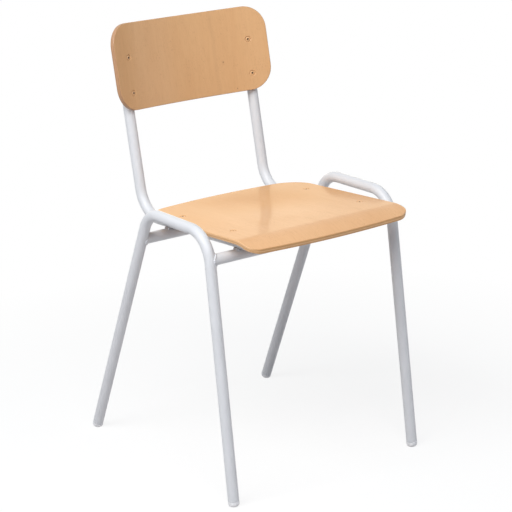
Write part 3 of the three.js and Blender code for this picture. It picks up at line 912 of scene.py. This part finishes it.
blank = rounded_blank(
    back_half_width, -BACK_HALF_HEIGHT, BACK_HALF_HEIGHT, BACK_CORNER, BACK_CORNER
)
scored(blank, 0, -back_half_width, back_half_width, BACK_STEP)
scored(blank, 1, -BACK_HALF_HEIGHT, BACK_HALF_HEIGHT, BACK_ROW_STEP)
holes = [
    sink_bit(side * post_turn * BACK_BEND_RADIUS, row)
    for side in SIDES.values() for row in BACK_RIVET_ROWS.values()
]
blank = drilled(blank, holes)
blank.normal_update()
pressed(blank, back_form)
backrest = finished(
    "backrest_shell_pressed", blank, "beech_plywood", [back_beech, back_edge], "backrest_shell"
)
even_shading(backrest)


# Blind rivets
# Aluminium blind rivets with flat heads go through each shell into the tube behind it. The steel
# mandrel pulls the tail tight inside the tube and snaps, which leaves its rough end in the head.

HEAD_RADIUS = 0.00425
HEAD_HEIGHT = 0.0011
HEAD_EDGE = 0.0004  # thickness at the rim of the head
HEAD_STEPS = 6
RIVET_BORE = 0.0014
TAIL_RADIUS = 0.0034
TAIL_LENGTH = 0.0042
TAIL_TAPER = 0.0009
MANDREL_RADIUS = 0.0011
MANDREL_RECESS = 0.0006  # broken end below the top of the head
MANDREL_HEAD_RADIUS = 0.0021
MANDREL_HEAD_LENGTH = 0.002
BREAK_EDGE = 0.3  # shares of the mandrel's radius: the slope round its broken end,
BREAK_RIM = 0.5  # the radius of the rim
BREAK_HOLLOW = 0.2  # and the depth of the hollow within it
# Painted shade: round its bore the rivet head is painted in a dark core colour, which fades to the coat
# colour between these reaches.
SHADE_CORE_REACH = 0.0017  # the head is dark up to this far from its middle
SHADE_CORE_FADE = 0.0026
RIVET_SIDES = 32

head_seat = -SINK_DEPTH + SEATING_GAP
tail_depth = TUBE_RADIUS - math.sqrt(bore_radius**2 - TAIL_RADIUS**2)
tail_top = -(SEAT_THICKNESS + 2 * SEATING_GAP + tail_depth)


def coated_aluminium(name, core):
    """Aluminium with a baked beech-coloured coat, worn bright in spots, and painted shade in the core
    colour round the bore.
    """

    def varied(start):
        where = kept_place(start)
        flat = start.node("ShaderNodeVectorMath", {"operation": "MULTIPLY"}, {0: where, 1: (1, 1, 0)})
        reach = start.node("ShaderNodeVectorMath", {"operation": "LENGTH"}, {0: flat}, output="Value")
        # Painted shade: the core colour round the bore.
        clear_of_shade = reach.between(SHADE_CORE_REACH, SHADE_CORE_FADE)
        wear = noise(where, 900.0, 3.0).between(0.60, 0.80) * 0.3
        scratch = noise(where, 5200.0, 1.0)
        coat = clear_of_shade.blend(core, (0.72, 0.43, 0.21, 1))
        return {
            "Base Color": wear.blend(coat, (0.62, 0.56, 0.50, 1)),
            "Roughness": 0.34 + scratch * 0.2,
            "Metallic": wear,
            "Normal": bump(scratch, 0.15, 0.0001),
        }

    return finish_of(name, {"IOR": 1.5}, varied)


def snapped_steel(name, dull, bright):
    """Plated steel, coarse where it snapped."""

    def varied(start):
        where = start.node("ShaderNodeTexCoord", output="Object")
        crystal = noise(where, 4200.0, 3.0)
        return {
            "Base Color": crystal.blend(dull, bright),
            "Roughness": 0.45 + crystal * 0.3,
            "Normal": bump(crystal, 0.5, 0.0002),
        }

    return finish_of(name, {"Metallic": 0.7}, varied)


rivet_aluminium = coated_aluminium("coated_aluminium", (0.16, 0.075, 0.03, 1))
# Painted shade: the mandrel is painted near-black brown, which darkens the middle of each rivet.
mandrel_steel = snapped_steel("snapped_mandrel_steel", (0.07, 0.04, 0.02, 1), (0.16, 0.10, 0.06, 1))

# Painted sheen: the front left rivet of the seat and its mandrel are painted pale wood colour, without
# the dark core, so that it hardly shows in the seat's sheen.
sheen_pale_aluminium = coated_aluminium("painted_sheen_aluminium", (0.62, 0.37, 0.19, 1))
sheen_pale_steel = snapped_steel("painted_sheen_steel", (0.55, 0.33, 0.16, 1), (0.66, 0.42, 0.22, 1))
SHEEN_PALE_RIVET = ("seat", "front", "left")


def rivet():
    """The set rivet: low domed head, shank and swollen tail, bored right through."""
    tail_end = tail_top - TAIL_LENGTH
    profile = [
        (RIVET_BORE, tail_end), (RIVET_RADIUS, tail_end),
        (TAIL_RADIUS, tail_end + TAIL_TAPER), (TAIL_RADIUS, tail_top - TAIL_TAPER),
        (RIVET_RADIUS, tail_top), (RIVET_RADIUS, head_seat), (HEAD_RADIUS, head_seat),
    ]
    for step in range(HEAD_STEPS + 1):
        turn = math.pi / 2 * step / HEAD_STEPS
        reach = (HEAD_RADIUS - RIVET_BORE) * math.cos(turn)
        rise = (HEAD_HEIGHT - HEAD_EDGE) * math.sin(turn)
        profile.append((RIVET_BORE + reach, head_seat + HEAD_EDGE + rise))
    return turned(profile + profile[:1], RIVET_SIDES)


def mandrel():
    """The part of the mandrel that stays: head under the tail, stem and broken end."""
    stem_top = head_seat + HEAD_HEIGHT - MANDREL_RECESS
    head_top = tail_top - TAIL_LENGTH - SEATING_GAP
    return turned(
        [
            (0, head_top - MANDREL_HEAD_LENGTH),
            (MANDREL_HEAD_RADIUS, head_top - MANDREL_HEAD_LENGTH),
            (MANDREL_HEAD_RADIUS, head_top), (MANDREL_RADIUS, head_top),
            (MANDREL_RADIUS, stem_top - MANDREL_RADIUS * BREAK_EDGE),
            (MANDREL_RADIUS * BREAK_RIM, stem_top),
            (0, stem_top - MANDREL_RADIUS * BREAK_HOLLOW),
        ],
        RIVET_SIDES,
    )


def tube_bit():
    """Drills one wall of the tube behind the shell."""
    surface = -(SEAT_THICKNESS + SEATING_GAP)
    return turned(
        [
            (0, surface - TUBE_RADIUS), (rivet_hole, surface - TUBE_RADIUS),
            (rivet_hole, surface + CUT_OVERRUN), (0, surface + CUT_OVERRUN),
        ],
        RIVET_SIDES,
    )


def rivet_places(side):
    """Each rivet's name and placing: +Z stands out of the face it is sunk in."""
    places = {}
    for row, y in SEAT_RIVET_ROWS.items():
        head = Vector((side * rail_spread, y, TUBE_RADIUS + SEATING_GAP + SEAT_THICKNESS))
        places["seat", row] = deck @ Matrix.Translation(head)
    for row, height in BACK_RIVET_ROWS.items():
        turn = side * post_turn
        outward = Vector((-math.sin(turn), -math.cos(turn), 0))
        head = Vector((0, back_axis, height)) - outward * BACK_BEND_RADIUS
        places["backrest", row] = back_frame @ stood_along(head, outward)
    return places


for side_name, side in SIDES.items():
    places = rivet_places(side)
    bits = []
    for (shell, row), place in places.items():
        bit = tube_bit()
        bit.transform(place)
        bits.append(bit)
        # Painted sheen: the seat's front left rivet takes the pale finishes.
        in_sheen = (shell, row, side_name) == SHEEN_PALE_RIVET
        aluminium = sheen_pale_aluminium if in_sheen else rivet_aluminium
        steel = sheen_pale_steel if in_sheen else mandrel_steel
        for kind, shape, slot, finish in (
            ("rivet", rivet(), "rivet_aluminium", aluminium),
            ("mandrel", mandrel(), "mandrel_steel", steel),
        ):
            noted(shape)
            shape.transform(place)
            node = f"{shell}_{kind}_{row}_{side_name}"
            finished(f"{node}_set", shape, slot, [finish], node)
    post = back_posts[side]
    whole = bmesh.new()
    whole.from_mesh(post.data)
    opened = drilled(whole, bits)
    settle(opened)
    opened.to_mesh(post.data)
    opened.free()


# Studio
# A plain pale floor and white surroundings, two large soft lamps high at the front left and the left, a
# long low warm one behind on the right and a weak one at the front right. The long lens looks from the
# front left, from above the seat.

FLOOR_REACH = 8.0
FLOOR_DROP = 0.0002  # clear of the glides' flat soles
FLOOR_GREY = (0.60, 0.575, 0.575, 1)  # what the floor throws back on the chair
FLOOR_SQUARES = 8
WHITE = (1, 1, 1, 1)
SURROUND_LIGHT = (0.20, 0.225, 0.26, 1)
SHADOW_SHARE = 0.17  # how much of the light falling on the floor is seen on it
SHADOW_REACH = 0.55  # from the middle of the chair
FLOOR_CLEAR = 1.1  # beyond this the floor is plain white
LAMP_AIM = Vector((0, 0, 0.45))
CAMERA_TARGET = Vector((0.025963, 0.018121, 0.35612))
CAMERA_DISTANCE = 3.194232
CAMERA_TURN = 0.609  # radians to the left of straight ahead
CAMERA_RISE = 0.300  # radians above level
CAMERA_ROLL = -0.035
CAMERA_LENS = 120.01  # millimetres
CAMERA_SENSOR = 36.0
LAMPS = (
    # name, place, width, height, watts, colour
    ("key", (-1.11, -1.59, 2.56), 1.5, 1.5, 42.0, (1, 1, 1)),
    ("left", (-1.91, -0.34, 2.56), 1.5, 1.5, 52.0, (1, 1, 1)),
    ("backdrop", (1.75, 2.50, 0.86), 3.0, 0.85, 13.0, (1, 0.85, 0.56)),
    ("right", (2.20, -1.60, 1.10), 1.2, 1.2, 7.5, (1, 1, 1)),
)

scene = bpy.context.scene


def seen_rays(start):
    """1 for the rays that show the surroundings: to the camera, in gloss and through glass."""
    camera, gloss, glass = (
        start.node("ShaderNodeLightPath", output=f"Is {kind} Ray")
        for kind in ("Camera", "Glossy", "Transmission")
    )
    return start.maths("MAXIMUM", start.maths("MAXIMUM", camera, gloss), glass)


def pale_floor():
    """White to the eye, with the chair's shadow kept, and a calmer grey to the light."""
    finish = bpy.data.materials.new("pale_floor")
    finish.use_nodes = True
    tree = finish.node_tree
    tree.nodes.clear()
    start = Wire(tree)
    seen = seen_rays(start)
    paint = start.node("ShaderNodeBsdfDiffuse", {}, {"Color": seen.blend(FLOOR_GREY, WHITE)})
    glow = start.node("ShaderNodeEmission", {}, {"Color": WHITE, "Strength": 1.0})
    where = start.node("ShaderNodeTexCoord", output="Object")
    distance = start.node("ShaderNodeVectorMath", {"operation": "LENGTH"}, {0: where}, output="Value")
    away = distance.between(SHADOW_REACH, FLOOR_CLEAR)
    share = seen * (SHADOW_SHARE * away + (1 - SHADOW_SHARE))
    mixed = start.node("ShaderNodeMixShader", {}, {0: share, 1: paint, 2: glow})
    output = tree.nodes.new("ShaderNodeOutputMaterial")
    tree.links.new(mixed.socket, output.inputs["Surface"])
    return finish


shape = bmesh.new()
bmesh.ops.create_grid(
    shape, x_segments=FLOOR_SQUARES, y_segments=FLOOR_SQUARES, size=FLOOR_REACH
)
bmesh.ops.translate(shape, vec=(0, 0, -FLOOR_DROP), verts=shape.verts)
floor = loose_object("floor", shape)
floor.data.materials.append(pale_floor())

world = bpy.data.worlds.new("studio")
world.use_nodes = True
world.node_tree.nodes.clear()
start = Wire(world.node_tree)
seen = seen_rays(start)
sky = start.node("ShaderNodeBackground", {}, {"Color": seen.blend(SURROUND_LIGHT, WHITE)})
output = world.node_tree.nodes.new("ShaderNodeOutputWorld")
world.node_tree.links.new(sky.socket, output.inputs["Surface"])
scene.world = world

for name, place, width, height, watts, colour in LAMPS:
    lamp = bpy.data.lights.new(name, "AREA")
    lamp.shape = "RECTANGLE"
    lamp.size = width
    lamp.size_y = height
    lamp.energy = watts
    lamp.color = colour
    holder = bpy.data.objects.new(name, lamp)
    holder.visible_camera = False
    aim = LAMP_AIM - Vector(place)
    holder.matrix_world = Matrix.Translation(place) @ aim.to_track_quat("-Z", "Y").to_matrix().to_4x4()
    scene.collection.objects.link(holder)

lens = bpy.data.cameras.new("camera")
lens.sensor_width = CAMERA_SENSOR
lens.lens = CAMERA_LENS
camera = bpy.data.objects.new("camera", lens)
backwards = Vector((
    math.sin(CAMERA_TURN) * -math.cos(CAMERA_RISE),
    -math.cos(CAMERA_TURN) * math.cos(CAMERA_RISE),
    math.sin(CAMERA_RISE),
))
level = Vector((0, 0, 1)).cross(backwards).normalized()
upright = backwards.cross(level)
looking = Matrix((level, upright, backwards)).transposed().to_4x4()
camera.matrix_world = (
    Matrix.Translation(CAMERA_TARGET + backwards * CAMERA_DISTANCE)
    @ looking @ Matrix.Rotation(CAMERA_ROLL, 4, "Z")
)
scene.collection.objects.link(camera)
scene.camera = camera
scene.view_settings.view_transform = "Standard"
